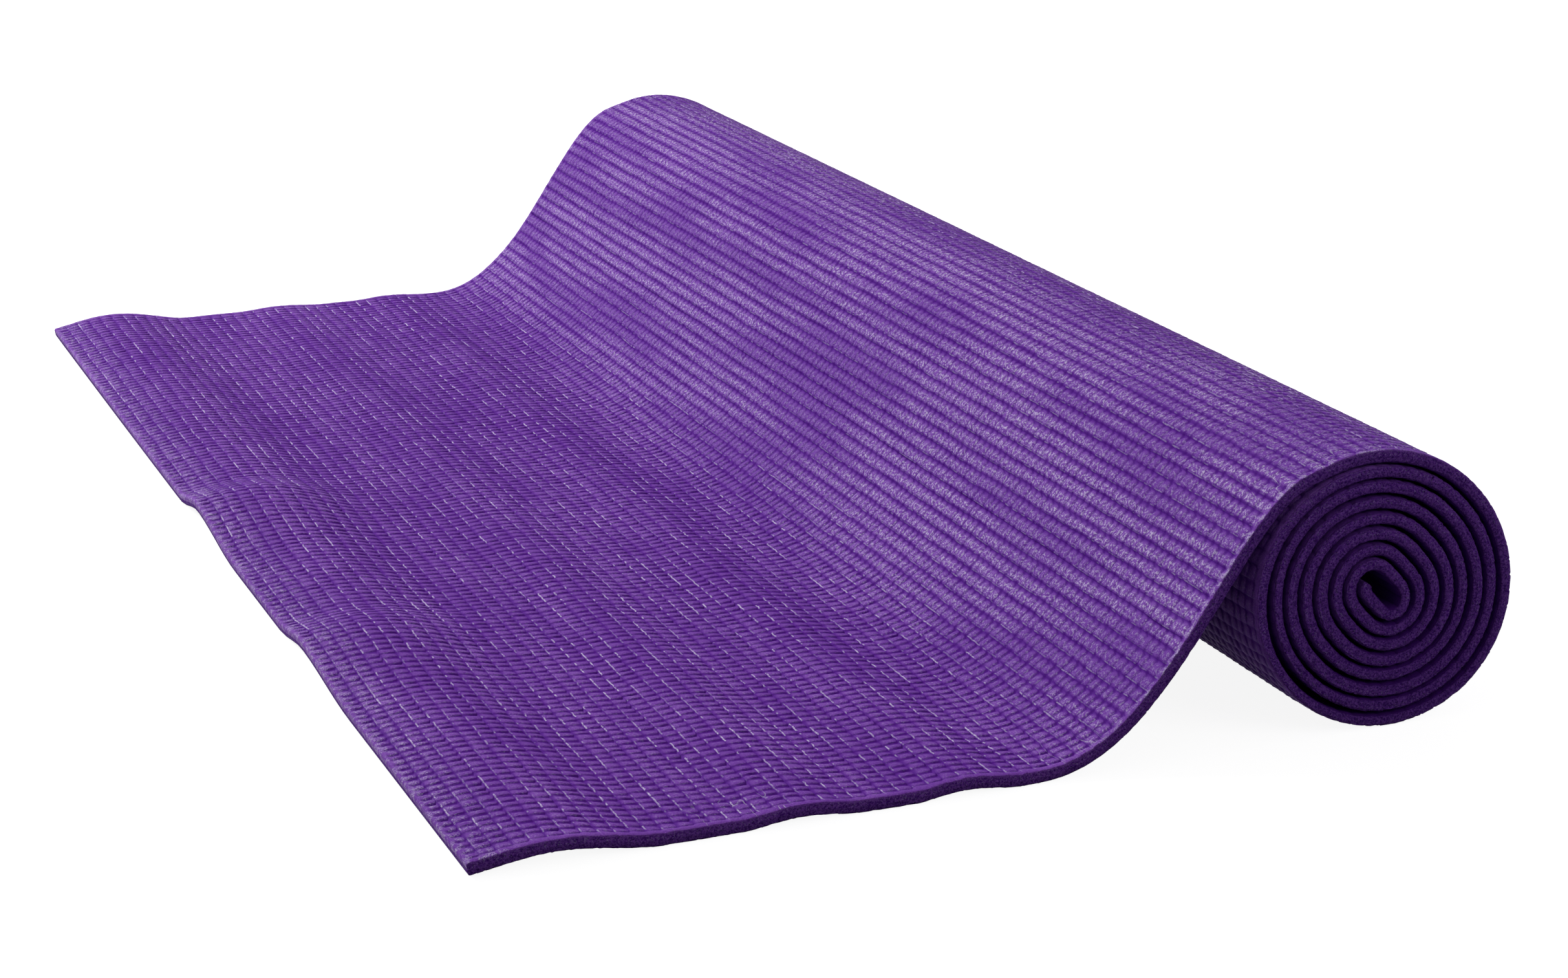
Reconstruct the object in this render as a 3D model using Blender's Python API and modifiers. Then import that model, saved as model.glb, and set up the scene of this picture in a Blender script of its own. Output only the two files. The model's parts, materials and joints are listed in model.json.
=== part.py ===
"""A yoga mat, partly unrolled: the free end lies flat, climbs a slope and runs over the top of the roll.

The mat is one sheet: a woven scrim with a foam layer bonded to each side. It lies along X, from the
free end at low X to the roll at high X. Its width is along Y, with the near edge at low Y, and it
rests on Z = 0. A sheet can't bend in a rigid model, so this one is parted at its four bend lines into
a front, a middle and a rear flat, a ramp, and the roll. The face foam is up where the mat lies flat,
so it is outside on the roll.
"""

import math

import bmesh
import bpy
from mathutils import Vector

# The sheet
SHEET_WIDTH = 0.610
FOAM_THICKNESS = 0.00175
SCRIM_THICKNESS = 0.00030
BOND_CLEARANCE = 0.00020
BEND_CLEARANCE = 0.00030

# The roll, from its loose core out
TURNS = 7.86
ROLL_RADIUS = 0.0423
ROLL_OVAL = 0.0021
OVAL_ANGLE = math.radians(125)
CORE_HALF_LENGTH = 0.0063
CORE_HALF_WIDTH = 0.0022
CORE_ROUNDING_SHARE = 0.05
CORE_ANGLE = math.radians(137.5)
LEAVING_ANGLE = math.radians(17)

# The ramp, from the foot of the slope to the roll
FOOT_TO_ROLL = 0.0741
FOOT_REACH = 0.0420
SHOULDER_REACH = 0.0250
BEND_STRAIGHT = 0.0040

# The flat part, from the free end to the foot of the slope
FRONT_LENGTH = 0.0762
MIDDLE_LENGTH = 0.0430
REAR_LENGTH = 0.0420
FREE_END_BOW = 0.0023

# Low waves across the flat part, each with its place, height and half width along X
FREE_END_WAVE = (0.0242, 0.0034, 0.0310)
MIDDLE_WAVE = (0.0947, 0.0016, 0.0185)
REAR_WAVE = (0.1442, 0.0015, 0.0165)
FAR_WAVE_SHARE = 0.35

# Soft folds that run in from the free end, each with its place across the width and its height
NEAR_FOLD = (0.1770, 0.0034)
FAR_FOLD = (0.3260, 0.0046)
FOLD_RISE = 0.0560
FOLD_FALL = 0.0300
FOLD_LENGTH = 0.0730

# How finely the shapes are cut
STEPS_PER_TURN = 36
RAMP_STEPS = 14
FLAT_STEP = 0.0085
FOLD_STEPS = 5
SMALL_STEP_SHARE = 0.001

FULL_TURN = 2 * math.pi

SHEET_THICKNESS = 2 * FOAM_THICKNESS + SCRIM_THICKNESS + 2 * BOND_CLEARANCE
HALF_SHEET = SHEET_THICKNESS / 2
FLAT_LENGTH = FRONT_LENGTH + MIDDLE_LENGTH + REAR_LENGTH

FOAM_COLOUR = (0.105, 0.030, 0.320, 1)
BASE_FOAM_COLOUR = (0.075, 0.020, 0.240, 1)
SCRIM_COLOUR = (0.500, 0.460, 0.560, 1)


def clear_scene():
    for item in list(bpy.data.objects):
        bpy.data.objects.remove(item, do_unlink=True)


def finish(name, colour, roughness):
    """A Principled material."""
    material = bpy.data.materials.new(name)
    material.use_nodes = True
    shader = material.node_tree.nodes["Principled BSDF"]
    shader.inputs["Base Color"].default_value = colour
    shader.inputs["Roughness"].default_value = roughness
    shader.inputs["Metallic"].default_value = 0
    return material


# The roll's section. A turn counts from the top of the roll, clockwise and inwards, by the way that
# the sheet faces. A reach is measured from the roll's centre to the line that touches the sheet there.


def core_reach(angle):
    """The loose core is a slit with round ends. The angle is from its long axis."""
    slit = math.hypot(math.cos(angle), CORE_ROUNDING_SHARE * math.sin(angle))
    return CORE_HALF_WIDTH + (CORE_HALF_LENGTH - CORE_HALF_WIDTH) * slit


def turn_reach(turn):
    """The reach of the middle of the sheet, from nearly round outside to the slit inside."""
    heading = FULL_TURN * turn
    outwards = 1 - turn / TURNS
    inner = core_reach(heading - CORE_ANGLE)
    outer = ROLL_RADIUS + ROLL_OVAL * math.cos(2 * (heading - OVAL_ANGLE))
    return inner + (outer - inner) * outwards


def turn_offset(turn):
    """The middle of the sheet in the roll, from the roll's centre."""
    heading = FULL_TURN * turn
    reach = turn_reach(turn)
    change = turn_reach(turn + SMALL_STEP_SHARE) - turn_reach(turn - SMALL_STEP_SHARE)
    side = change / (2 * FULL_TURN * SMALL_STEP_SHARE)
    across = reach * math.sin(heading) + side * math.cos(heading)
    return Vector((across, 0, reach * math.cos(heading) - side * math.sin(heading)))


def roll_turns():
    first = -LEAVING_ANGLE / FULL_TURN
    steps = round((TURNS - first) * STEPS_PER_TURN)
    return [first + (TURNS - first) * step / steps for step in range(steps + 1)]


def roll_centre():
    """The roll stands on Z = 0, and its low-X side is FOOT_TO_ROLL from the foot of the slope."""
    offsets = [turn_offset(turn) for turn in roll_turns()]
    low = min(offset.z for offset in offsets)
    left = min(offset.x for offset in offsets)
    return Vector((FLAT_LENGTH + FOOT_TO_ROLL - left, 0, HALF_SHEET - low))


def leaving_direction():
    """The way the sheet runs where it comes onto the roll."""
    first = -LEAVING_ANGLE / FULL_TURN
    return (turn_offset(first + SMALL_STEP_SHARE) - turn_offset(first)).normalized()


def roll_line(centre):
    """The sheet's middle from the crest bend to the core, with a straight bit at the bend."""
    turns = [centre + turn_offset(turn) for turn in roll_turns()]
    return [turns[0] - BEND_STRAIGHT * leaving_direction()] + turns


def ramp_line(crest):
    """From the foot bend to the crest bend as a smooth S, with a straight bit at both bends."""
    bend = Vector((FLAT_LENGTH, 0, HALF_SHEET))
    start = bend + Vector((BEND_STRAIGHT, 0, 0))
    foot = start + Vector((FOOT_REACH, 0, 0))
    end = crest - BEND_STRAIGHT * leaving_direction()
    shoulder = end - SHOULDER_REACH * leaving_direction()
    line = [bend]
    for step in range(RAMP_STEPS + 1):
        done = step / RAMP_STEPS
        left = 1 - done
        low_half = left**3 * start + 3 * left**2 * done * foot
        line.append(low_half + 3 * left * done**2 * shoulder + done**3 * end)
    return line + [crest]


def flat_line(start, length):
    """A level line whose end steps are half as long as the others."""
    steps = round(length / FLAT_STEP)
    inner = [start + length * (step + 0.5) / steps for step in range(steps)]
    return [Vector((along, 0, HALF_SHEET)) for along in [start] + inner + [start + length]]


# The waves and folds of the flat part


def wave_shape(distance, half_width):
    """One at the top of a wave, and zero from half its width on."""
    off = min(abs(distance) / half_width, 1)
    return (1 - off**2) ** 2


def fold_shape(across, peak):
    """A fold climbs slowly from the near edge and falls steeply on its far side."""
    side = FOLD_RISE if across < peak else FOLD_FALL
    off = min(abs(across - peak) / side, 1)
    return (1 - off) ** 2 * (1 + 2 * off)


def lift(along, across):
    """The height of the sheet above its level place."""
    towards_far = across / SHEET_WIDTH
    place, height, half_width = FREE_END_WAVE
    total = height * (1 + FAR_WAVE_SHARE * towards_far) * wave_shape(along - place, half_width)
    for place, height, half_width in (MIDDLE_WAVE, REAR_WAVE):
        total += height * (1 - FAR_WAVE_SHARE * towards_far) * wave_shape(along - place, half_width)
    for peak, height in (NEAR_FOLD, FAR_FOLD):
        total += height * fold_shape(across, peak) * wave_shape(along, FOLD_LENGTH)
    return total


def bow(along, across):
    """The free end bows out towards its far corner."""
    if along >= FRONT_LENGTH:
        return 0
    towards_far = math.sin(math.pi / 2 * across / SHEET_WIDTH)
    return -FREE_END_BOW * towards_far * (1 - along / FRONT_LENGTH)


def free_end_reach(front):
    """How far the free end stands out past X = 0, with the lean of its face."""
    reach = 0
    for across in fold_places():
        rise = lift(front[1].x, across) - lift(front[0].x, across)
        lean = rise / math.hypot(rise, front[1].x - front[0].x)
        reach = max(reach, HALF_SHEET * lean - bow(front[0].x, across))
    return reach


def fold_places():
    """The places across the width that the folds need, and both edges."""
    places = [0, SHEET_WIDTH]
    for peak, _ in (NEAR_FOLD, FAR_FOLD):
        for step in range(-FOLD_STEPS, FOLD_STEPS + 1):
            side = FOLD_RISE if step < 0 else FOLD_FALL
            place = peak + side * step / FOLD_STEPS
            if 0 < place < SHEET_WIDTH:
                places.append(place)
    return sorted(places)


# Solids


def shorten(line, at_start, at_end):
    """The line with a clearance taken off its ends."""
    line = [point.copy() for point in line]
    line[0] += at_start * (line[1] - line[0]).normalized()
    line[-1] += at_end * (line[-2] - line[-1]).normalized()
    return line


def sheet_surface(name, line, places, is_flat):
    """The middle surface of a stretch of the sheet: its section line swept across the width."""
    mesh = bpy.data.meshes.new(name)
    shape = bmesh.new()
    columns = []
    for point in line:
        column = []
        for across in places:
            place = Vector((point.x, across, point.z))
            if is_flat:
                place.x += bow(point.x, across)
                place.z += lift(point.x, across)
            column.append(shape.verts.new(place))
        columns.append(column)
    for column, following in zip(columns, columns[1:]):
        for step in range(len(places) - 1):
            shape.faces.new((column[step], following[step], following[step + 1], column[step + 1]))
    shape.to_mesh(mesh)
    shape.free()
    return mesh


def add_stretch(name, line, places, is_flat, axis):
    """The face foam, the scrim and the base foam of one stretch, with their origins on its bend line."""
    place = Vector((axis.x, SHEET_WIDTH / 2, axis.z))
    surface = sheet_surface(name, line, places, is_flat)
    for vertex in surface.vertices:
        vertex.co -= place
    to_foam = (SCRIM_THICKNESS + FOAM_THICKNESS) / 2 + BOND_CLEARANCE
    layers = (
        ("face_foam", to_foam, FOAM_THICKNESS),
        ("scrim", 0, SCRIM_THICKNESS),
        ("base_foam", -to_foam, FOAM_THICKNESS),
    )
    for layer, height, thickness in layers:
        item = bpy.data.objects.new(f"{name}_{layer}", surface.copy())
        item.location = place - Vector((MIDDLE_X, SHEET_WIDTH / 2, 0))
        item.data.materials.append(FINISHES[layer])
        collection.objects.link(item)
        shell = item.modifiers.new("thickness", "SOLIDIFY")
        shell.thickness = thickness
        shell.offset = 2 * height / thickness
        shell.use_even_offset = True


def bend_axis(line, is_flat):
    """The bend line at the end of a stretch lies on the sheet's face, above its highest point there."""
    along = (line[-1] - line[-2]).normalized()
    top = line[-1] + HALF_SHEET * Vector((-along.z, 0, along.x))
    if is_flat:
        top.z += max(lift(line[-1].x, across) for across in fold_places())
    return top


def least_turn_gap(line):
    """The least gap between the turns, from each point to the straight bits of the line half a turn on."""
    least = math.inf
    apart = STEPS_PER_TURN // 2
    for index, point in enumerate(line):
        for start, end in zip(line[index + apart :], line[index + apart + 1 :]):
            run = end - start
            done = min(max((point - start).dot(run) / run.length_squared, 0), 1)
            least = min(least, (start + done * run - point).length)
    return least - SHEET_THICKNESS


def length_of(line):
    return sum((after - before).length for before, after in zip(line, line[1:]))


clear_scene()
collection = bpy.data.collections.new("yoga_mat")
bpy.context.scene.collection.children.link(collection)
FINISHES = {
    "face_foam": finish("mat_foam", FOAM_COLOUR, 0.55),
    "scrim": finish("scrim_yarn", SCRIM_COLOUR, 0.8),
    "base_foam": finish("mat_foam_base", BASE_FOAM_COLOUR, 0.65),
}

centre = roll_centre()
roll = roll_line(centre)
ramp = ramp_line(roll[0])
front = flat_line(0, FRONT_LENGTH)
middle = flat_line(FRONT_LENGTH, MIDDLE_LENGTH)
rear = flat_line(FRONT_LENGTH + MIDDLE_LENGTH, REAR_LENGTH)
MIDDLE_X = (max(point.x for point in roll) + HALF_SHEET - free_end_reach(front)) / 2

half = BEND_CLEARANCE / 2
edges = [0, SHEET_WIDTH]
add_stretch("roll", shorten(roll, half, 0), edges, False, centre)
add_stretch("ramp", shorten(ramp, half, half), edges, False, bend_axis(ramp, False))
add_stretch("rear", shorten(rear, half, half), edges, True, bend_axis(rear, True))
add_stretch("middle", shorten(middle, half, half), fold_places(), True, bend_axis(middle, True))
add_stretch("front", shorten(front, 0, half), fold_places(), True, bend_axis(front, True))

print(f"least gap between the turns {least_turn_gap(roll) * 1000:.2f} mm")
for name, line in (("roll", roll), ("ramp", ramp), ("rear", rear), ("middle", middle), ("front", front)):
    print(f"{name} length {length_of(line) * 1000:.1f} mm")
for name, line in (("ramp", ramp), ("rear", rear), ("middle", middle), ("front", front)):
    axis = bend_axis(line, line is not ramp)
    print(f"{name} turns at x {axis.x - MIDDLE_X:.5f}, z {axis.z:.5f}")
print(f"roll centre at x {centre.x - MIDDLE_X:.5f}, z {centre.z:.5f}")
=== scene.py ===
"""A yoga mat, partly unrolled: its free end lies flat, and the rest climbs onto a loose roll."""

import json
import math

import bpy
import numpy as np
from mathutils import Matrix, Vector


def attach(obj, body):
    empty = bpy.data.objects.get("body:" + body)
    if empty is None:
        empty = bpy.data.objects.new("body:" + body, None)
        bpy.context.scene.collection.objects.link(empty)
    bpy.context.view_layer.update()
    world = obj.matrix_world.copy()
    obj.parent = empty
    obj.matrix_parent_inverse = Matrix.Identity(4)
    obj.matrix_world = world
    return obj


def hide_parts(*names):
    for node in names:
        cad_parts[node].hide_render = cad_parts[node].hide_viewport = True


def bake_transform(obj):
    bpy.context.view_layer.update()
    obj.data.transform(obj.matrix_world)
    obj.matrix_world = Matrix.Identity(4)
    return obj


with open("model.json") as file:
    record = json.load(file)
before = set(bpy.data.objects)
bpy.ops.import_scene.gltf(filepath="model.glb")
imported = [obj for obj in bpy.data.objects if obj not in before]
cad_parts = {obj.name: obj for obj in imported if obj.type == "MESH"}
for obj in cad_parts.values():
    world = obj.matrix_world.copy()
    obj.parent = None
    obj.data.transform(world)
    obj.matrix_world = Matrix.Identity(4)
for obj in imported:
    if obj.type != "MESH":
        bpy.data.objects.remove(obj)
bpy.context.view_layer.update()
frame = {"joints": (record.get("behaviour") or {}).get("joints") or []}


# The scrim is an open weave of polyester yarn in the middle of the mat, which keeps the foam from
# stretching. It is cut with the mat, runs through the flat part, the slope and every turn of the roll,
# and stops just short of the foam's edges.

SHEET_WIDTH = 0.610
HALF_SHEET = 0.0021
FLAT_LENGTH = 0.1612
FRONT_LENGTH = 0.0762

# The flat part ends at the foot's bend, whose place in the frame says how far the free end is from X 0
BENDS = {joint["name"]: joint for joint in frame["joints"]}
MIDDLE_X = FLAT_LENGTH - BENDS["foot_bend"]["pos_m"][0]

# The roll, and how the slope leaves the floor and comes onto it
TURNS = 7.86
ROLL_RADIUS = 0.0423
ROLL_OVAL = 0.0021
OVAL_ANGLE = math.radians(125)
CORE_HALF_LENGTH = 0.0063
CORE_HALF_WIDTH = 0.0022
CORE_ROUNDING_SHARE = 0.05
CORE_ANGLE = math.radians(137.5)
FIRST_TURN = -17 / 360
FOOT_TO_ROLL = 0.0741
FOOT_REACH = 0.0420
SHOULDER_REACH = 0.0250
BEND_STRAIGHT = 0.0040

TURN_STEP = 0.0005
ROLL_POINTS = 16000
RAMP_POINTS = 500
LEVEL_POINTS = 200


def turn_reach(turn):
    """From the roll's centre to the line that touches the sheet. Turns count inwards from the top."""
    heading = 2 * math.pi * turn
    angle = heading - CORE_ANGLE
    slit = np.hypot(np.cos(angle), CORE_ROUNDING_SHARE * np.sin(angle))
    inner = CORE_HALF_WIDTH + (CORE_HALF_LENGTH - CORE_HALF_WIDTH) * slit
    outer = ROLL_RADIUS + ROLL_OVAL * np.cos(2 * (heading - OVAL_ANGLE))
    return inner + (outer - inner) * (1 - turn / TURNS)


def turn_offset(turn):
    """The middle of the sheet in the roll, from the roll's centre."""
    heading, reach = 2 * math.pi * turn, turn_reach(turn)
    side = (turn_reach(turn + TURN_STEP) - turn_reach(turn - TURN_STEP)) / (4 * math.pi * TURN_STEP)
    x = reach * np.sin(heading) + side * np.cos(heading)
    return np.stack([x, reach * np.cos(heading) - side * np.sin(heading)], axis=-1)


def sheet_line():
    """Closely spaced points on the middle of the sheet, as X and Z, from the free end to the core."""
    offsets = turn_offset(np.linspace(FIRST_TURN, TURNS, ROLL_POINTS))
    roll = np.array([FLAT_LENGTH + FOOT_TO_ROLL, HALF_SHEET]) - offsets.min(axis=0) + offsets
    leaving = (roll[1] - roll[0]) / np.linalg.norm(roll[1] - roll[0])
    crest = roll[0] - BEND_STRAIGHT * leaving
    start = np.array([FLAT_LENGTH + BEND_STRAIGHT, HALF_SHEET])
    end = crest - BEND_STRAIGHT * leaving
    done = np.linspace(0, 1, RAMP_POINTS)[:, None]
    left = 1 - done
    foot, shoulder = start + [FOOT_REACH, 0], end - SHOULDER_REACH * leaving
    ramp = left**3 * start + 3 * left**2 * done * foot + 3 * left * done**2 * shoulder + done**3 * end
    level = np.linspace(0, FLAT_LENGTH, LEVEL_POINTS)
    level = np.stack([level, np.full(LEVEL_POINTS, HALF_SHEET)], axis=-1)
    return np.concatenate([level, ramp, roll])


line = sheet_line()
line_steps = np.linalg.norm(np.diff(line, axis=0), axis=1)
line_run = np.concatenate([[0], np.cumsum(line_steps)])
SHEET_LENGTH = line_run[-1]
line_course = np.unwrap(np.arctan2(np.gradient(line[:, 1]), np.gradient(line[:, 0])))
line_bend = np.abs(np.gradient(line_course, line_run))

# The waves across the flat part: where, how high, half as long, and their growth to the far edge
WAVES = (
    (0.0242, 0.0034, 0.0310, 0.35),
    (0.0947, 0.0016, 0.0185, -0.35),
    (0.1442, 0.0015, 0.0165, -0.35),
)
# The soft folds that run in from the free end: where across it, and how high
FOLDS = ((0.1770, 0.0034), (0.3260, 0.0046))
FOLD_RISE = 0.0560
FOLD_FALL = 0.0300
FOLD_LENGTH = 0.0730
FREE_END_BOW = 0.0023
LIFT_STEP = 0.0002

# How much of a tight bend's radius the layer on its inside may fill
INNER_REACH_SHARE = 0.85


def wave_shape(distance, half_width):
    return (1 - np.minimum(np.abs(distance) / half_width, 1) ** 2) ** 2


def lift(along, across):
    """How high the waves and the soft folds hold the flat part."""
    total = 0
    for place, height, half_width, growth in WAVES:
        share = 1 + growth * across / SHEET_WIDTH
        total = total + height * share * wave_shape(along - place, half_width)
    for peak, height in FOLDS:
        side = np.where(across < peak, FOLD_RISE, FOLD_FALL)
        off = np.minimum(np.abs(across - peak) / side, 1)
        total = total + height * (1 - off) ** 2 * (1 + 2 * off) * wave_shape(along, FOLD_LENGTH)
    return total


def on_sheet(along, across, height):
    """Points in the frame, from how far along and across the sheet they are, and their height on it."""
    along, across, height = np.broadcast_arrays(along, across, height)
    course = np.interp(along, line_run, line_course)
    sine, cosine = np.sin(course), np.cos(course)
    rise = (lift(along + LIFT_STEP, across) - lift(along - LIFT_STEP, across)) / (2 * LIFT_STEP)
    roll = (lift(along, across + LIFT_STEP) - lift(along, across - LIFT_STEP)) / (2 * LIFT_STEP)
    normal = np.stack([-sine - rise * cosine, -roll, cosine - rise * sine], axis=-1)
    normal /= np.linalg.norm(normal, axis=-1, keepdims=True)
    to_free_end = np.clip(1 - along / FRONT_LENGTH, 0, 1)
    bow = -FREE_END_BOW * np.sin(math.pi / 2 * across / SHEET_WIDTH) * to_free_end
    x = np.interp(along, line_run, line[:, 0]) + bow - MIDDLE_X
    z = np.interp(along, line_run, line[:, 1]) + lift(along, across)
    middle = np.stack([x, across - SHEET_WIDTH / 2, z], axis=-1)
    deepest = INNER_REACH_SHARE / np.maximum(np.interp(along, line_run, line_bend), 1)
    return middle + normal * np.maximum(height, -deepest)[..., None]


ROWS = 320
ROW_PITCH = SHEET_LENGTH / ROWS

# From a bend towards the free end, on the flat part and down from the crest
crest_angle = line_course[LEVEL_POINTS + RAMP_POINTS]
LEVEL_COURSE = (-1, 0, 0)
CREST_COURSE = (-math.cos(crest_angle), 0, -math.sin(crest_angle))

# Each stretch with its first and last row, and the joint and direction of its bend
STRETCHES = (
    ("front", 0, 21, "front_bend", LEVEL_COURSE),
    ("middle", 21, 30, "middle_bend", LEVEL_COURSE),
    ("foot", 30, 49, "foot_bend", LEVEL_COURSE),
    ("shoulder", 49, 73, "crest_bend", CREST_COURSE),
    ("roll", 73, ROWS, None, None),
)
STANDS_FOR = {"front": "front", "middle": "middle", "foot": "rear", "shoulder": "ramp", "roll": "roll"}
HALF_BEND = 0.015
SHARP_ANGLE = math.radians(55)


def swept(name, parts, joins, marks, upside_down):
    """A closed skin over rings of points. Each part is an array of rings, and the next part joins on at
    the columns in joins. Marks are values that its material reads."""
    faces, numbers, start = [], [], 0
    for part in parts:
        count, around = part.shape[:2]
        numbers.append(start + np.arange(count * around).reshape(count, around))
        start += count * around
    for number in numbers:
        beside = np.roll(number, -1, axis=1)
        corners = [number[:-1], number[1:], beside[1:], beside[:-1]]
        faces += np.stack(corners, axis=-1).reshape(-1, 4).tolist()
    for before, after, columns in zip(numbers, numbers[1:], joins):
        for index, column in enumerate(columns):
            later, width = (index + 1) % len(columns), before.shape[1]
            following = columns[later] if columns[later] > column else columns[later] + width
            first = [int(before[-1][at % width]) for at in range(column, following + 1)]
            faces.append(first[::-1] + [int(after[0][index]), int(after[0][later])])
    faces.append(numbers[0][0].tolist())
    faces.append(numbers[-1][-1].tolist()[::-1])
    if upside_down:
        faces = [face[::-1] for face in faces]
    points = np.concatenate([part.reshape(-1, 3) for part in parts])
    mesh = bpy.data.meshes.new(name)
    mesh.from_pydata(points.tolist(), [], faces)
    for mark, values in marks.items():
        kind, field = ("FLOAT_VECTOR", "vector") if values.ndim == 2 else ("FLOAT", "value")
        layer = mesh.attributes.new(mark, kind, "POINT")
        layer.data.foreach_set(field, values.astype(np.float32).ravel())
    mesh.polygons.foreach_set("use_smooth", np.ones(len(mesh.polygons), bool))
    mesh.set_sharp_from_angle(angle=SHARP_ANGLE)
    piece = bpy.data.objects.new(name, mesh)
    bpy.context.scene.collection.objects.link(piece)
    return piece


def hold(piece, stretch, layer):
    """The roll's piece follows its body, the others are baked in place; each stands for its hidden solid.
    """
    name, first, last, bend, course = stretch
    if bend:
        middle, away = Vector(BENDS[bend]["pos_m"]), HALF_BEND * Vector(course)
        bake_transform(piece)
    else:
        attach(piece, name)
    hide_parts(f"{STANDS_FOR[name]}_{layer}")
    (last - first) * ROW_PITCH


class Link:
    """A value in a node tree. Sums written with it add Math nodes."""

    def __init__(self, nodes, socket):
        self.nodes, self.socket = nodes, socket

    def maths(self, operation, *others):
        return self.nodes.maths(operation, self, *others)

    def other(self, name):
        """Another output of the same node."""
        return Link(self.nodes, self.socket.node.outputs[name])

    def __add__(self, value):
        return self.maths("ADD", value)

    def __radd__(self, value):
        return self.nodes.maths("ADD", value, self)

    def __sub__(self, value):
        return self.maths("SUBTRACT", value)

    def __rsub__(self, value):
        return self.nodes.maths("SUBTRACT", value, self)

    def __mul__(self, value):
        return self.maths("MULTIPLY", value)

    def __rmul__(self, value):
        return self.nodes.maths("MULTIPLY", value, self)

    def __truediv__(self, value):
        return self.maths("DIVIDE", value)

    def __rtruediv__(self, value):
        return self.nodes.maths("DIVIDE", value, self)


class Nodes:
    """The nodes of a material or of the world."""

    def __init__(self, owner):
        owner.use_nodes = True
        self.owner, self.tree = owner, owner.node_tree

    def put(self, socket, value):
        if isinstance(value, Link):
            self.tree.links.new(value.socket, socket)
        else:
            socket.default_value = value

    def node(self, kind, inputs, output=0, **settings):
        """Any node: its settings first, then the values or links of its sockets."""
        node = self.tree.nodes.new(kind)
        for name, value in settings.items():
            setattr(node, name, value)
        for key, value in inputs.items():
            self.put(node.inputs[key], value)
        return Link(self, node.outputs[output])

    def maths(self, operation, *values):
        return self.node("ShaderNodeMath", dict(enumerate(values)), operation=operation)

    def mix(self, share, first, second):
        """A colour between two. The node's sockets 6 and 7 and its output 2 are those for colours."""
        return self.node("ShaderNodeMix", {0: share, 6: first, 7: second}, output=2, data_type="RGBA")

    def stretch(self, value, low, high, start=0, end=1):
        """The value, eased so that low to high becomes start to end."""
        inputs = {"Value": value, "From Min": low, "From Max": high, "To Min": start, "To Max": end}
        return self.node("ShaderNodeMapRange", inputs, interpolation_type="SMOOTHSTEP")

    def noise(self, place, size, detail, rough):
        inputs = {"Vector": place, "Scale": 1 / size, "Detail": detail, "Roughness": rough}
        return self.node("ShaderNodeTexNoise", inputs)

    def mark(self, name, output="Fac"):
        """A value that the mesh carries."""
        return self.node("ShaderNodeAttribute", {}, output=output, attribute_name=name)

    def split(self, vector):
        first = self.node("ShaderNodeSeparateXYZ", {"Vector": vector})
        return first, first.other("Y"), first.other("Z")

    def scaled(self, vector, factors):
        return self.node("ShaderNodeVectorMath", {0: vector, 1: factors}, operation="MULTIPLY")

    def bump(self, height, distance, strength):
        inputs = {"Height": height, "Distance": distance, "Strength": strength}
        return self.node("ShaderNodeBump", inputs, output="Normal")

    def cover(self, **inputs):
        shader = self.tree.nodes["Principled BSDF"]
        for name, value in inputs.items():
            self.put(shader.inputs[name.replace("_", " ")], value)
        return self.owner


YARN_PITCH = 0.0021
FIBRE_SIZE = 0.0003
YARN_SHADE = (0.42, 0.38, 0.48, 1)
YARN_LIGHT = (0.62, 0.58, 0.68, 1)
GAP_COLOUR = (0.10, 0.05, 0.18, 1)
GAP_SPAN = (0.55, 0.25)
SCRIM_RELIEF = 0.0001
SCRIM_HALF = 0.00013
SCRIM_INSET = 0.0019
SCRIM_COLUMNS = 158
SCRIM_STEPS = 2
ROLLED_STEPS = 4
scrim_columns = np.linspace(SCRIM_INSET, SHEET_WIDTH - SCRIM_INSET, SCRIM_COLUMNS)


def weave():
    """Pale yarns over and under each other, with fine fibres and dark gaps between."""
    nodes = Nodes(bpy.data.materials.new("scrim_weave"))
    place = nodes.mark("sheet_place", "Vector")
    along, across, _ = nodes.split(place)
    frequency = 2 * math.pi / YARN_PITCH
    warp, weft = (along * frequency).maths("SINE"), (across * frequency).maths("SINE")
    yarn = warp.maths("ABSOLUTE").maths("MAXIMUM", weft.maths("ABSOLUTE"))
    fibres = nodes.noise(place, FIBRE_SIZE, 3, 0.6)
    colour = nodes.mix(fibres, YARN_SHADE, YARN_LIGHT)
    colour = nodes.mix(nodes.stretch(yarn, *GAP_SPAN), colour, GAP_COLOUR)
    height = yarn + warp * weft * 0.3 + fibres * 0.3
    normal = nodes.bump(height, SCRIM_RELIEF, 0.8)
    return nodes.cover(Base_Color=colour, Roughness=0.62 + fibres * 0.2, Normal=normal)


SCRIM_WEAVE = weave()
for stretch in STRETCHES:
    name, first, last = stretch[:3]
    steps, columns = SCRIM_STEPS, scrim_columns
    if name == "roll":
        steps, columns = ROLLED_STEPS, scrim_columns[[0, -1]]
    along = np.arange(steps * first, steps * last + 1)[:, None] / steps * ROW_PITCH
    along = np.clip(along, SCRIM_INSET, SHEET_LENGTH - SCRIM_INSET)
    across = np.concatenate([columns, columns[::-1]])
    height = np.repeat([SCRIM_HALF, -SCRIM_HALF], len(columns))
    points = on_sheet(along, across, height)
    place = np.stack(np.broadcast_arrays(along, across, height), axis=-1).reshape(-1, 3)
    scrim = swept(f"{name}_weave", [points], [], {"sheet_place": place}, False)
    scrim.data.materials.append(SCRIM_WEAVE)
    hold(scrim, stretch, "scrim")


# The face foam is soft PVC foam, cured on the scrim and embossed by a roller while hot, with rows of
# small rounded pads. Its skin is satin, and its edges are cut with a blade, which rounds the skin over.

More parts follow.
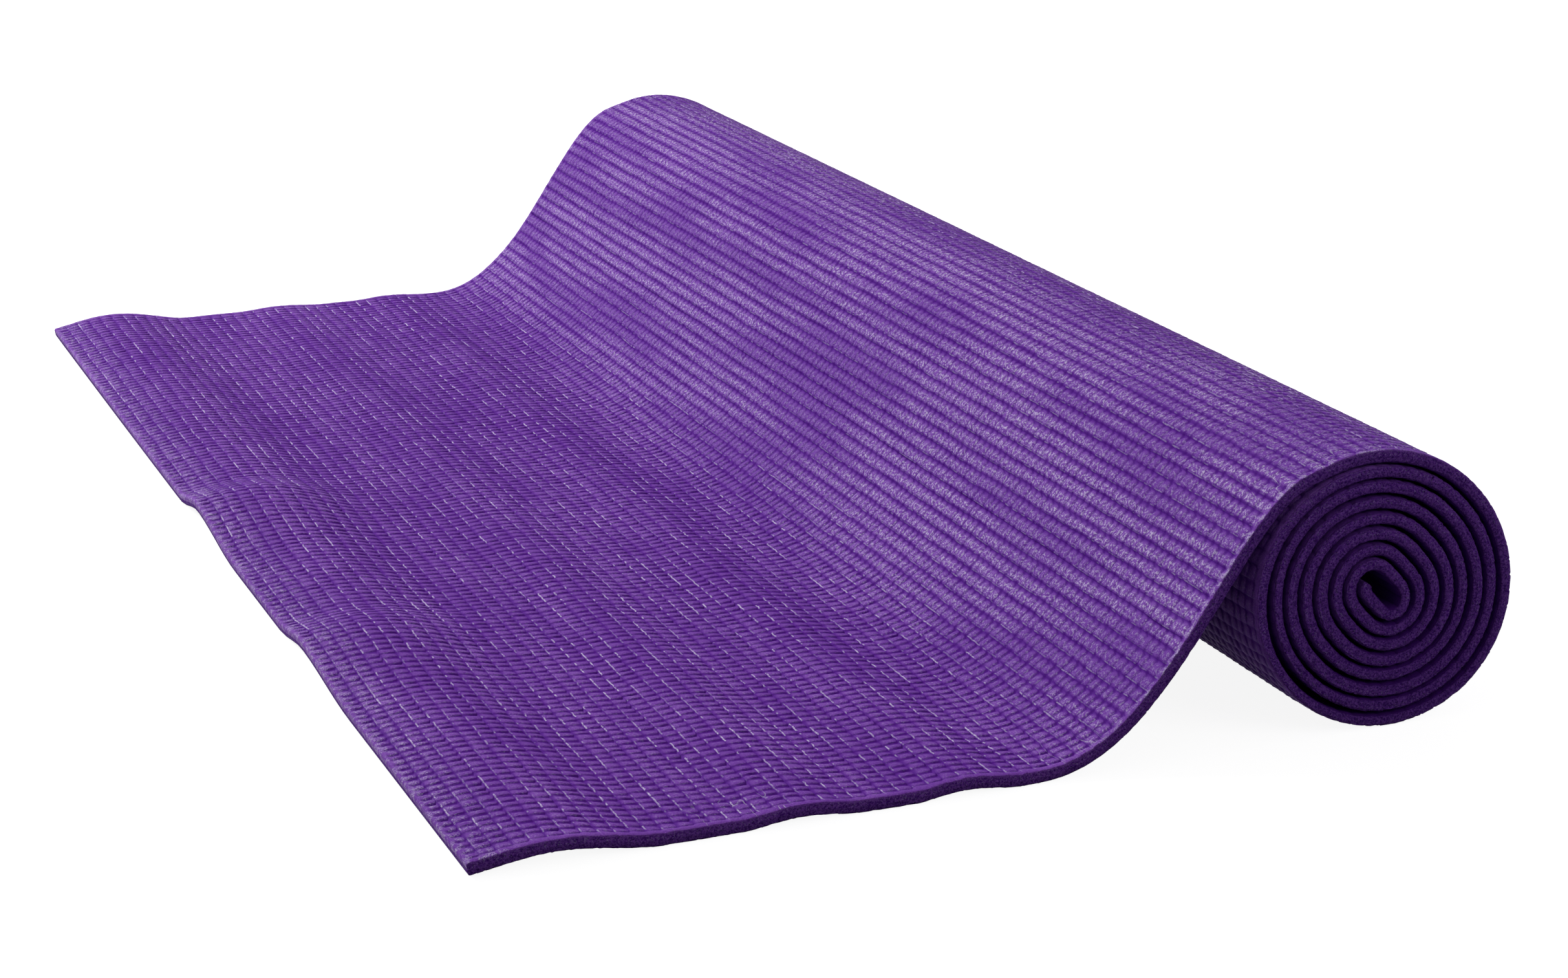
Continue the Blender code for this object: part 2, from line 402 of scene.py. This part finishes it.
# Rows across the mat: the steps along one, how deep its groove is at each, and how rows differ
ROW_STEPS = (0, 0.07, 0.24, 0.56, 0.86)
ROW_GROOVE = (1, 0.60, 0.18, 0, 0.38)
ROW_DEPTH = 0.00062
ROW_DEPTH_SHARES = (0.75, 1.2)
ROW_WANDER = 0.00012
WANDER_PLACES = 42

# Pads in a row: the steps across one, how deep the crevice is at each, and how pads differ
CELLS = 155
CELL_MARGIN = 0.0034
CELL_PITCH = (SHEET_WIDTH - 2 * CELL_MARGIN) / CELLS
CELL_STEPS = (0, 0.13, 0.34, 0.68)
CELL_CREVICE = (1, 0.34, 0, 0.30)
CELL_DEPTH = 0.00062
CREVICE_GROWTH = (0.55, 0.55, 0.75, 1.0, 1.0)
CREVICE_GROOVE_SHARE = 0.6
PLAIN_CREVICE_SHARE = 0.25
PAD_DEPTH_SHARES = (0.7, 1.25)
CELL_SLANT = 0.0009
CELL_BULGE = 0.0002
CELL_JITTER = 0.00028
CELL_WANDER = 0.00030
PAD_UNEVEN = 0.00012

# On the slope, where the sheet is stretched, the rows are deeper and the crevices flatter
SLOPE_SPAN = (0.170, 0.215, 0.290, 0.325)
SLOPE_CREVICE_SHARES = (1, 0.60, 0.60, 0.80)
SLOPE_GROOVE_SHARES = (1, 1.25, 1.25, 1)

# The pads fade out beside the cuts, and reach nearer to them on the slope
SIDE_MARGIN = 0.0012
SIDE_FADE = 0.0034
SLOPE_MARGIN_CUT = 0.0008
SLOPE_FADE_CUT = 0.0018
MARGIN_SPAN = (0.16, 0.19, 0.29, 0.32)
END_MARGIN = 0.0004
END_FADE = 0.0014

# On the roll the rows notch the cut edge itself
NOTCH_SHARE = 0.55
NOTCH_START = 73
NOTCH_RISE = 0.030
NOTCH_MARGIN = 0.0010
NOTCH_FADE = 0.0030

# The blade leaves the edge a little ragged, wavy and here and there thin
ROUGH_LIMIT = 2.2
ROUGH_REACH = 0.0016
ROUGH_HEIGHT_SHARE = 0.6
RAGGED_FLAT = 0.00016
RAGGED_OUTER_TURN = 0.00022
RAGGED_TURNS = 0.00026
LIP_WANDER = 0.00045
LIP_WANDER_REACH = 0.004
LIP_WANDER_ROWS = 3
LIP_THIN_SHARE = 0.17
LIP_THIN_ROWS = 12
LIP_REACH = 0.009
LIP_LEAST = 0.0005

# The gaps between the outer turns are widest low on the left. There the face foam, 1, and the base foam,
# -1, are thinner at their edges: how far along, half how long, and by what share
LOOSE_REACH = 0.028
LOOSE_START = 1.3
LOOSE_BITS = {
    1: ((0.715, 0.055, 0.30), (0.950, 0.050, 0.18)),
    -1: ((0.467, 0.060, 0.34), (0.715, 0.055, 0.20)),
}

# Up to this row the outer turn shows its pads. Cells whose edges have a column, for each kind of skin
DENSE_ROWS = 125
FINENESS = {
    "pads": range(CELLS + 1),
    "folds": range(0, CELLS + 1, 2),
    "plain": (0, 2, 38, 78, 116, 154, 155),
}

# Across the cut edge: how far in from it, and how high the skin is there
NO_LIMIT = 1.0
EDGE = (
    (0, 0.0009),
    (0.00005, 0.00135),
    (0.00025, 0.00172),
    (0.0006, 0.00193),
    (0.0012, 0.00202),
    (0.0022, 0.00207),
)
EDGE_REACH = EDGE[-1][0]
EDGE_SPACE = 0.0003

# The height of the first and last ring, and the heights below which the skin is a blade's cut
END_HEIGHT = 0.00035
BLADE_HEIGHT = 0.0018
CUT_HEIGHT = 0.0019
CUT_FADE = 0.0003

# On the scrim's side the foam is drawn back over the weave, which leaves a pocket for it
POCKET = 0.00016
POCKET_START = 0.0017
LIP_INSET = 0.0015

EMBOSS_SEED = 7
chance = np.random.RandomState(EMBOSS_SEED)
row_wander = chance.standard_normal((ROWS + 1, WANDER_PLACES)) * ROW_WANDER
row_wander[0] = row_wander[-1] = 0
row_offset = chance.standard_normal(ROWS + 1) * CELL_WANDER
cell_jitter = chance.standard_normal((ROWS + 1, CELLS + 2)) * CELL_JITTER
pad_height = chance.uniform(0, PAD_UNEVEN, (ROWS + 1, CELLS + 2))
pad_depth = chance.uniform(*PAD_DEPTH_SHARES, (ROWS + 1, CELLS + 2))
row_depth = chance.uniform(*ROW_DEPTH_SHARES, (ROWS + 1, WANDER_PLACES))
lip_wander = chance.uniform(0, LIP_WANDER, (2, ROWS // LIP_WANDER_ROWS))
lip_thin = chance.uniform(0, LIP_THIN_SHARE, (4, ROWS // LIP_THIN_ROWS)) ** 2 / LIP_THIN_SHARE


def smooth_between(values, across, length=SHEET_WIDTH):
    """Values at even places over a length, read at others."""
    at = np.clip(across / length, 0, 1) * (values.shape[-1] - 1)
    low = np.minimum(at.astype(int), values.shape[-1] - 2)
    part = at - low
    part = part * part * (3 - 2 * part)
    return values[..., low] * (1 - part) + values[..., low + 1] * part


def eased(value):
    value = np.clip(value, 0, 1)
    return value * value * (3 - 2 * value)


def skin_columns(kind):
    """Columns across the skin: place, limit of height, cell and step in the cell."""
    columns = [(0, 0, -1, 2)] + [(place, height, -1, 2) for place, height in EDGE]
    for cell in FINENESS[kind]:
        for step, share in enumerate(CELL_STEPS if kind == "pads" and cell < CELLS else (0,)):
            columns.append((CELL_MARGIN + (cell + share) * CELL_PITCH, NO_LIMIT, cell, step))
    columns += [(SHEET_WIDTH - place, height, CELLS + 1, 2) for place, height in EDGE[::-1]]
    return columns + [(SHEET_WIDTH, 0, CELLS + 1, 2)]


def inner_columns(kind):
    """Columns across the side on the scrim, from the far edge back, with their height."""
    places = [LIP_INSET, SCRIM_INSET]
    inside = FINENESS["plain" if kind == "plain" else "folds"][1:-1]
    places += [CELL_MARGIN + cell * CELL_PITCH for cell in inside]
    places += [SHEET_WIDTH - SCRIM_INSET, SHEET_WIDTH - LIP_INSET]
    heights = [0] + [POCKET] * (len(places) - 2) + [0]
    return list(zip(places, heights))[::-1]


def stations(first, last):
    """Places along the sheet: place, limit of height, row and step in the row."""
    found = []
    for row in range(first, last):
        for step, share in enumerate(ROW_STEPS):
            found.append(((row + share) * ROW_PITCH, NO_LIMIT, row, step))
    found.append((last * ROW_PITCH, NO_LIMIT, last, 0))
    if first == 0:
        lip = [(0, END_HEIGHT, 0, 3)] + [(place, height, 0, 3) for place, height in EDGE]
        found = lip + [one for one in found if one[0] > EDGE_REACH + EDGE_SPACE]
    if last == ROWS:
        lip = [(SHEET_LENGTH - place, height, ROWS - 1, 3) for place, height in EDGE[::-1]]
        lip.append((SHEET_LENGTH, END_HEIGHT, ROWS - 1, 3))
        found = [one for one in found if one[0] < SHEET_LENGTH - EDGE_REACH - EDGE_SPACE] + lip
    return found


def fades(along, from_side, from_end, rolled):
    """How much of the pads, and of the grooves between the rows, is left beside the cuts."""
    sloping = np.interp(along, MARGIN_SPAN, (0, 1, 1, 0))
    past_margin = from_side - SIDE_MARGIN + SLOPE_MARGIN_CUT * sloping
    beside = eased(past_margin / (SIDE_FADE - SLOPE_FADE_CUT * sloping))
    fade = beside * eased((from_end - END_MARGIN) / END_FADE)
    notched = NOTCH_SHARE * rolled * eased((from_end - NOTCH_MARGIN) / NOTCH_FADE)
    return fade, np.maximum(fade, notched)


def lip_thinning(along, from_side, near, rolled, side):
    """How much thinner the layer is beside its side edges on the roll."""
    first = 0 if side > 0 else 2
    near_lip, far_lip = smooth_between(lip_thin, along[:, 0], SHEET_LENGTH)[first : first + 2]
    thinning = np.where(near, near_lip[:, None], far_lip[:, None])
    thinning = thinning * rolled * eased(1 - from_side / LIP_REACH)
    for place, half_length, most in LOOSE_BITS[side]:
        loose = most * wave_shape(along - place, half_length)
        thinning = np.maximum(thinning, loose * eased(LOOSE_START - from_side / LOOSE_REACH))
    return thinning


def foam_ring(rows, kind, side, ragged, seed):
    """Rings round a layer of foam: its points, and the marks that its material reads."""
    along, end_limit, row, step = (np.array(column)[:, None] for column in zip(*stations(*rows)))
    across, edge_limit, cell, part = (np.array(column)[None] for column in zip(*skin_columns(kind)))
    share, groove = np.array(ROW_STEPS)[step], np.array(ROW_GROOVE)[step]
    crevice = np.array(CELL_CREVICE)[part] * np.array(CREVICE_GROWTH)[step]
    if kind != "pads":
        crevice = np.full_like(crevice, PLAIN_CREVICE_SHARE)
    from_side = np.minimum(across, SHEET_WIDTH - across)
    from_end = np.minimum(along, SHEET_LENGTH - along)
    near = (across < SHEET_WIDTH / 2).astype(int)
    rolled = np.clip((along - NOTCH_START * ROW_PITCH) / NOTCH_RISE, 0, 1)
    fade, reaching = fades(along, from_side, from_end, rolled)

    # The height of the skin: the rows and pads pressed into it, then the cuts
    depth = smooth_between(row_depth, across[0])[row[:, 0]]
    depth = depth * np.interp(along, SLOPE_SPAN, SLOPE_GROOVE_SHARES)
    kept = (1 - CREVICE_GROOVE_SHARE * groove) * np.interp(along, SLOPE_SPAN, SLOPE_CREVICE_SHARES)
    pad_cell = np.clip(cell, 0, CELLS + 1)
    crevice_depth = CELL_DEPTH * crevice * pad_depth[row, pad_cell] * kept
    uneven = pad_height[row, pad_cell] * kept * (part > 0)
    height = HALF_SHEET - reaching * ROW_DEPTH * groove * depth - fade * (crevice_depth + uneven)
    blade = np.random.RandomState(seed)
    rough = np.minimum(np.abs(blade.standard_normal(height.shape)), ROUGH_LIMIT)
    rough = rough * ragged * (from_side < ROUGH_REACH)
    height = np.minimum(height, np.minimum(edge_limit, end_limit + 0 * height))
    thinning = lip_thinning(along, from_side, near, rolled, side)
    height = np.where(height > LIP_LEAST, height * (1 - thinning) - rough * ROUGH_HEIGHT_SHARE, height)
    height = np.where(np.isclose(edge_limit, 0) * np.ones_like(along, bool), 0, height)

    # Where the skin's points are on the sheet: the pads slant and bulge, and the rows and cuts wander
    wander = smooth_between(row_wander, across[0])
    wander = wander[row[:, 0]] * (1 - share) + wander[np.minimum(row + 1, ROWS)[:, 0]] * share
    shift = row_offset[row] - CELL_SLANT * (share - 0.5) - CELL_BULGE * np.sin(math.pi * share)
    further = np.clip(pad_cell + 1, 0, CELLS + 1)
    in_pad = np.array(CELL_STEPS)[part] * (cell >= 0)
    shift = shift + cell_jitter[row, pad_cell] * (1 - in_pad) + cell_jitter[row, further] * in_pad
    near_lip, far_lip = smooth_between(lip_wander, along[:, 0], SHEET_LENGTH)
    waver = np.where(near, near_lip[:, None], far_lip[:, None])
    waver = waver * eased(1 - from_side / LIP_WANDER_REACH)
    inwards = rough * (edge_limit < BLADE_HEIGHT) * (edge_limit > 0) + waver
    skin_across = across + shift * fade * (kind == "pads") + np.where(near, 1, -1) * inwards
    skin_along = along + wander * fade

    # The side on the scrim closes each ring
    inner_across, inner_height = (np.array(column)[None] for column in zip(*inner_columns(kind)))
    inner_along = along * np.ones_like(inner_across)
    pocket = (from_end > POCKET_START) * inner_height
    full_along = np.concatenate([skin_along, inner_along], axis=1)
    full_across = np.concatenate([skin_across, inner_across * np.ones_like(along)], axis=1)
    full_height = side * np.concatenate([height, pocket], axis=1)
    points = on_sheet(full_along, full_across, full_height)

    nothing = np.zeros_like(inner_along)
    pads = np.broadcast_arrays(along / ROW_PITCH, (across - CELL_MARGIN) / CELL_PITCH, fade)
    # How far the skin lies below its top: the material paints shade there
    deep = np.clip((HALF_SHEET - height) / ROW_DEPTH, 0, 1) * (fade > 0)
    last_limit = np.where(along < SHEET_LENGTH / 2, NO_LIMIT, end_limit) + 0 * height
    cut = np.clip((CUT_HEIGHT - np.minimum(edge_limit, last_limit)) / CUT_FADE, 0, 1)
    marks = {
        "sheet_place": np.stack([full_along, full_across, full_height], axis=-1),
        "pad_place": np.stack([np.concatenate([one, nothing], axis=1) for one in pads], axis=-1),
        "groove": np.concatenate([deep, nothing], axis=1),
        "cut": np.concatenate([cut, nothing], axis=1),
    }
    return points, marks


SAME_PLACE = 1e-6


def joining_columns():
    """For each column of a coarse ring, the column of a dense ring at the same place."""
    dense = [column[:2] for column in skin_columns("pads")]
    found = []
    for place, limit, *_ in skin_columns("plain"):
        same = [abs(other - place) < SAME_PLACE and other_limit == limit for other, other_limit in dense]
        found.append(same.index(True))
    inner = [place for place, _ in inner_columns("pads")]
    for place, _ in inner_columns("plain"):
        found.append(len(dense) + int(np.argmin([abs(place - other) for other in inner])))
    return found


def foam(name, rows, kind, side, seed):
    """A stretch of one layer of foam. On the roll, only the outer turn shows its pads."""
    first, last = rows
    spans = [(first, last, kind, RAGGED_FLAT)]
    if last == ROWS and kind == "pads":
        spans = [(first, DENSE_ROWS, kind, RAGGED_OUTER_TURN), (DENSE_ROWS, last, "plain", RAGGED_TURNS)]
    made = [foam_ring((start, end), fine, side, ragged, seed) for start, end, fine, ragged in spans]
    if len(made) == 2:
        made[1] = (made[1][0][1:], {key: value[1:] for key, value in made[1][1].items()})
    parts = [points for points, _ in made]
    marks = {}
    for mark in made[0][1]:
        shape = (-1, 3) if mark.endswith("place") else (-1,)
        marks[mark] = np.concatenate([values[mark].reshape(shape) for _, values in made])
    joins = [joining_columns()] if len(parts) == 2 else []
    return swept(name, parts, joins, marks, side < 0)


# The sizes of the skin's patterns
CLOUD_SIZE = 0.020
MOTTLE_SIZE = 0.0022
SPECK_SIZE = 0.00045
SHEEN_SIZE = 0.0009
BREAK_SIZE = 0.0032
PATCH_SIZE = 0.009
CREASE_SIZE = 0.006
HANDLED_SIZE = 0.05
PORE_SIZE = 0.00080
GRAIN_SIZE = 0.00060
SKIN_RELIEF = 0.00014

# Where along the sheet, and how far in from the near edge, the skin changes
SLOPE_START = (0.160, 0.200)
OVER_CREST = (0.345, 0.400)
FREE_END_SHEEN = (0.020, 0.004)
NEAR_RIM_SHEEN = (0.0030, 0.0004)
HANDLED_STRIP = (0.020, 0.008)
BEFORE_CREST = (0.34, 0.30)
ROLL_SHADE_FADE = 0.05
# The painted shade in the open pores
PORE_SHADE = (0.008, 0.002, 0.022, 1)


class FoamSkin(Nodes):
    """The nodes of a foam's skin, with the marks and patterns that its features share."""

    def __init__(self, name):
        super().__init__(bpy.data.materials.new(name))
        self.place = self.mark("sheet_place", "Vector")
        self.along, self.across, _ = self.split(self.place)
        self.groove, self.cut = self.mark("groove"), self.mark("cut")
        self.clouds = self.streaks(CLOUD_SIZE, 0.18, 2)
        self.mottle = self.noise(self.place, MOTTLE_SIZE, 3, 0.6)
        self.specks = self.noise(self.place, SPECK_SIZE, 2, 0.6)
        row, self.cell, self.raised = self.split(self.mark("pad_place", "Vector"))
        self.row = row + (self.mottle - 0.5) * 0.10
        self.in_row = self.row.maths("FRACT")
        start, steep, less_steep, end = SLOPE_SPAN
        self.slope = self.stretch(self.along, start, steep) * self.stretch(self.along, end, less_steep)

    def streaks(self, size, squeeze, detail):
        """Noise drawn out along the rows."""
        return self.noise(self.scaled(self.place, (1, squeeze, 1)), size, detail, 0.5)

    def pad_shades(self):
        """Painted shade: a crescent under each pad's near side, and a dark corner between four pads."""
        in_cell = (self.cell + (self.mottle - 0.5) * 0.16).maths("FRACT")
        number = {0: self.row.maths("FLOOR"), 1: self.cell.maths("FLOOR")}
        number = self.node("ShaderNodeCombineXYZ", number)
        own = self.node("ShaderNodeTexWhiteNoise", {"Vector": number}, noise_dimensions="3D")
        crescent = self.stretch(in_cell / (self.in_row * 0.17 + 0.13), 1.0, 0.55)
        crescent = crescent * self.stretch(self.in_row, 0.03, 0.40, 0.25, 1)
        crescent = crescent * (0.60 + own * 0.40) * self.raised * (1 - self.slope * 0.70)
        beside = in_cell.maths("MINIMUM", 1 - in_cell)
        from_line = self.in_row.maths("PINGPONG", 0.5)
        corner = self.stretch(beside, 0.22, 0.06) * self.stretch(from_line, 0.22, 0.08)
        return crescent * 0.90, corner * self.raised * (0.35 + own * 0.50)

    def sheen(self):
        """Painted sheen: pale flecks on the tops of the rows, most on the slope and the crest."""
        top = self.stretch(self.in_row, 0.10, 0.25) * self.stretch(self.in_row, 0.85, 0.60)
        flecks = self.stretch(self.noise(self.place, SHEEN_SIZE, 3, 0.7), 0.46, 0.66)
        flecks = flecks * self.stretch(self.clouds, 0.35, 0.60, 0.35, 1)
        off_flat = self.stretch(self.along, *SLOPE_START) * self.stretch(self.along, *OVER_CREST, 1, 0.05)
        return flecks * top * self.raised * (self.slope * 0.30 + off_flat * 0.36 + 0.14)

    def glint_lines(self):
        """Painted glints: pale broken lines along the edges of the rows."""
        line = self.stretch(self.in_row, 0.02, 0.06) * self.stretch(self.in_row, 0.15, 0.09)
        line = line * self.stretch(self.along, *OVER_CREST, 1, 0.25)
        broken = self.stretch(self.noise(self.place, BREAK_SIZE, 1, 0.5), 0.46, 0.60)
        broken = broken * self.stretch(self.specks, 0.30, 0.55)
        patches = self.stretch(self.streaks(PATCH_SIZE, 0.25, 2), 0.35, 0.65, 0.25, 1)
        return line * broken * patches * self.raised * (0.90 - self.slope * 0.50)

    # Painted sheen in pale flecks on the pads near the free end
    def sheen_at_free_end(self):
        fleck_sheen = self.stretch(self.along, *FREE_END_SHEEN) * self.stretch(self.mottle, 0.42, 0.60)
        return fleck_sheen * self.stretch(self.specks, 0.40, 0.60) * (1 - self.groove) * 0.55

    # Painted sheen in pale flecks on the rounded near rim, on the slope
    def sheen_on_near_rim(self):
        fleck_sheen = self.stretch(self.across, *NEAR_RIM_SHEEN) * self.stretch(self.mottle, 0.46, 0.60)
        return fleck_sheen * self.stretch(self.specks, 0.35, 0.55) * self.slope * (1 - self.cut) * 0.75

    def creases(self):
        """Fine creases by the near edge, where the mat is handled."""
        crease = self.stretch((self.streaks(CREASE_SIZE, 0.2, 1) - 0.5).maths("ABSOLUTE"), 0.012, 0.004)
        handled = self.stretch(self.noise(self.place, HANDLED_SIZE, 1, 0.5), 0.50, 0.60)
        handled = self.stretch(self.across, *HANDLED_STRIP) * handled
        crease = crease * handled * self.stretch(self.mottle, 0.35, 0.55)
        return crease * (1 - self.cut) * self.stretch(self.along, *BEFORE_CREST)

    def pores(self):
        """1 on the foam's walls, less in its open pores, where shade is painted."""
        from_middle = self.node("ShaderNodeTexVoronoi", {"Vector": self.place, "Scale": 1 / PORE_SIZE})
        return self.stretch(from_middle, 0.10, 0.30, 0.35, 1)


def foam_skin(name, pad, light, shade, deep, pale_marks_and_sheen, inside, roughness, is_padded, roll_shade_from):
    """Satin skin, with painted shade in the grooves, under the near side of each pad and between the
    turns of the roll, painted sheen and glints on the rows, by the free end and on the near rim, pale
    creases where the mat is handled, and open pores on the cuts, with painted shade in them."""
    skin = FoamSkin(name)
    specks, groove, cut = skin.specks, skin.groove, skin.cut
    colour = skin.mix(skin.stretch(specks, 0.3, 0.7), pad, light)
    # Soft darker streaks along the rows, at random: partly the skin's own tone, partly painted shade
    colour = skin.mix(skin.stretch(skin.clouds, 0.38, 0.64, 0.30, 0.0), colour, shade)
    # Painted shade under the near side of each pad and in the corners between pads
    if is_padded:
        for shadow in skin.pad_shades():
            colour = skin.mix(shadow, colour, deep)
    # Painted sheen on the tops of the rows
    colour = skin.mix(skin.sheen(), colour, pale_marks_and_sheen)
    # Painted shade in the grooves between the rows
    colour = skin.mix(skin.stretch(groove, 0.40, 0.95) * skin.raised * 0.80, colour, shade)
    # Painted glints along the edges of the rows
    colour = skin.mix(skin.glint_lines(), colour, pale_marks_and_sheen)
    # Painted sheen by the free end
    colour = skin.mix(skin.sheen_at_free_end(), colour, pale_marks_and_sheen)
    # Painted sheen on the near rim
    colour = skin.mix(skin.sheen_on_near_rim(), colour, pale_marks_and_sheen)
    creases = skin.creases()
    colour = skin.mix(creases * 0.6, colour, pale_marks_and_sheen)
    # Painted shade on the skin between the turns of the roll
    roll_shade = skin.stretch(skin.along, roll_shade_from, roll_shade_from + ROLL_SHADE_FADE)
    colour = skin.mix(roll_shade * 0.65, colour, deep)
    pores, grain = skin.pores(), skin.noise(skin.place, GRAIN_SIZE, 3, 0.7)
    body = skin.mix(skin.stretch(grain, 0.35, 0.65), deep, inside)
    body = skin.mix(skin.stretch(specks, 0.52, 0.72) * 0.13, body, pale_marks_and_sheen)
    # Painted shade in the open pores of the cut foam
    body = skin.mix(pores, PORE_SHADE, body)
    colour = skin.mix(cut, colour, body)
    shine = roughness + skin.stretch(specks, 0.3, 0.7, -0.12, 0.12) + cut * 0.3
    height = skin.mottle * 0.4 + specks * 0.8 + cut * (pores + grain * 2.0) * 1.5 - creases * 1.2
    normal = skin.bump(height, SKIN_RELIEF, 0.8)
    return skin.cover(Base_Color=colour, Roughness=shine, Specular_IOR_Level=0.012, Normal=normal)


FACE_SEED = 20
FACE_SKIN = foam_skin(
    "face_foam_skin",
    pad=(0.176, 0.047, 0.370, 1),
    light=(0.248, 0.099, 0.458, 1),
    shade=(0.086, 0.010, 0.245, 1),
    deep=(0.036, 0.003, 0.120, 1),
    # The pale colour of the creases and specks, and of the painted sheen and glints
    pale_marks_and_sheen=(0.66, 0.58, 0.80, 1),
    inside=(0.128, 0.040, 0.268, 1),
    roughness=0.55,
    is_padded=True,
    roll_shade_from=0.54,
)
for order, stretch in enumerate(STRETCHES):
    name, first, last = stretch[:3]
    face = foam(f"{name}_face", (first, last), "pads", 1, FACE_SEED + order)
    face.data.materials.append(FACE_SKIN)
    hold(face, stretch, "face_foam")


# The base foam is the same PVC foam on the under side of the scrim, with a duller skin. It is embossed
# with the rows alone, lies on the floor, and is on the inside of every turn of the roll.

BASE_SEED = 40
BASE_SKIN = foam_skin(
    "base_foam_skin",
    pad=(0.080, 0.012, 0.215, 1),
    light=(0.105, 0.020, 0.260, 1),
    shade=(0.052, 0.006, 0.150, 1),
    deep=(0.030, 0.004, 0.100, 1),
    pale_marks_and_sheen=(0.26, 0.18, 0.42, 1),
    inside=(0.120, 0.038, 0.250, 1),
    roughness=0.66,
    is_padded=False,
    roll_shade_from=0.27,
)
for order, stretch in enumerate(STRETCHES):
    name, first, last = stretch[:3]
    kind = "folds" if name in ("front", "middle") else "plain"
    base = foam(f"{name}_base", (first, last), kind, -1, BASE_SEED + order)
    base.data.materials.append(BASE_SKIN)
    hold(base, stretch, "base_foam")


# The studio: a wide pale floor that looks nearly white, a large soft lamp behind on the left, a weak one
# in front on the right, and plain light from all round.

FLOOR_REACH = 4.0
FLOOR_DROP = 0.0001
FLOOR_GLOW = 0.90
FLOOR_COLOUR = (0.32, 0.32, 0.32, 1)
WHITE = (1, 1, 1, 1)
BLACK = (0, 0, 0, 1)
floor_mesh = bpy.data.meshes.new("floor")
corners = [(-1, -1), (1, -1), (1, 1), (-1, 1)]
floor_points = [(x * FLOOR_REACH, y * FLOOR_REACH, -FLOOR_DROP) for x, y in corners]
floor_mesh.from_pydata(floor_points, [], [(0, 1, 2, 3)])
floor = bpy.data.objects.new("floor", floor_mesh)
bpy.context.scene.collection.objects.link(floor)


def seen_as_white(nodes):
    """1 where the camera, a reflection or a clear thing looks straight at it."""
    camera_ray = nodes.node("ShaderNodeLightPath", {}, output="Is Camera Ray")
    either = camera_ray.maths("MAXIMUM", camera_ray.other("Is Glossy Ray"))
    return either.maths("MAXIMUM", camera_ray.other("Is Transmission Ray"))


paper = Nodes(bpy.data.materials.new("floor_paper"))
paper.cover(Base_Color=FLOOR_COLOUR, Roughness=0.9)
glow = paper.node("ShaderNodeEmission", {"Color": WHITE, "Strength": FLOOR_GLOW})
dark = paper.node("ShaderNodeEmission", {"Color": BLACK, "Strength": 0.0})
lit = paper.node("ShaderNodeMixShader", {0: seen_as_white(paper), 1: dark, 2: glow})
skin = Link(paper, paper.tree.nodes["Principled BSDF"].outputs["BSDF"])
both = paper.node("ShaderNodeAddShader", {0: lit, 1: skin})
paper.put(paper.tree.nodes["Material Output"].inputs["Surface"], both)
floor_mesh.materials.append(paper.owner)


def lamp(name, place, aim, size, power):
    light = bpy.data.lights.new(name, "AREA")
    light.shape, light.size, light.size_y, light.energy = "RECTANGLE", size[0], size[1], power
    item = bpy.data.objects.new(name, light)
    item.location = place
    item.rotation_euler = (Vector(aim) - Vector(place)).to_track_quat("-Z", "Y").to_euler()
    bpy.context.scene.collection.objects.link(item)


AMBIENT = 0.20
LAMP_AIM = (0, 0, 0.03)
lamp("key_lamp", (-1.1, 1.5, 1.5), LAMP_AIM, (1.4, 1.0), 58)
lamp("front_lamp", (0.9, -2.0, 1.2), LAMP_AIM, (1.6, 1.2), 11)

world = bpy.data.worlds.new("studio")
bpy.context.scene.world = world
sky = Nodes(world)
plain = sky.node("ShaderNodeBackground", {"Color": WHITE, "Strength": AMBIENT})
white = sky.node("ShaderNodeBackground", {"Color": WHITE, "Strength": 1.0})
choice = sky.node("ShaderNodeMixShader", {0: seen_as_white(sky), 1: plain, 2: white})
sky.put(sky.tree.nodes["World Output"].inputs["Surface"], choice)


# The camera stands where the photograph's did, as solved from the mat's outline

CAMERA_PLACE = Vector((-0.36831, -1.05920, 0.34866))
AZIMUTH = -0.38001
ELEVATION = 0.30015
ROLL = -0.004
LEAN = math.radians(0.26)
IMAGE_WIDTH = 2425
FOCAL_PIXELS = 5017.04
SENSOR_WIDTH = 36
view_data = bpy.data.cameras.new("camera")
view_data.sensor_width = SENSOR_WIDTH
view_data.lens = FOCAL_PIXELS * SENSOR_WIDTH / IMAGE_WIDTH
view_data.clip_start, view_data.clip_end = 0.05, 30
camera = bpy.data.objects.new("camera", view_data)
bpy.context.scene.collection.objects.link(camera)
level = math.cos(ELEVATION)
ahead = Vector((-math.sin(AZIMUTH) * level, math.cos(AZIMUTH) * level, -math.sin(ELEVATION)))
right = ahead.cross(Vector((0, 0, 1))).normalized()
up = right.cross(ahead)
tilted = Matrix.Rotation(LEAN, 3, "Y")
turned_right = tilted @ (right * math.cos(ROLL) + up * math.sin(ROLL))
turned_up = tilted @ (up * math.cos(ROLL) - right * math.sin(ROLL))
turned = Matrix((turned_right, turned_up, -(tilted @ ahead))).transposed()
camera.matrix_world = Matrix.Translation(CAMERA_PLACE) @ turned.to_4x4()
bpy.context.scene.camera = camera
bpy.context.scene.view_settings.view_transform = "Standard"
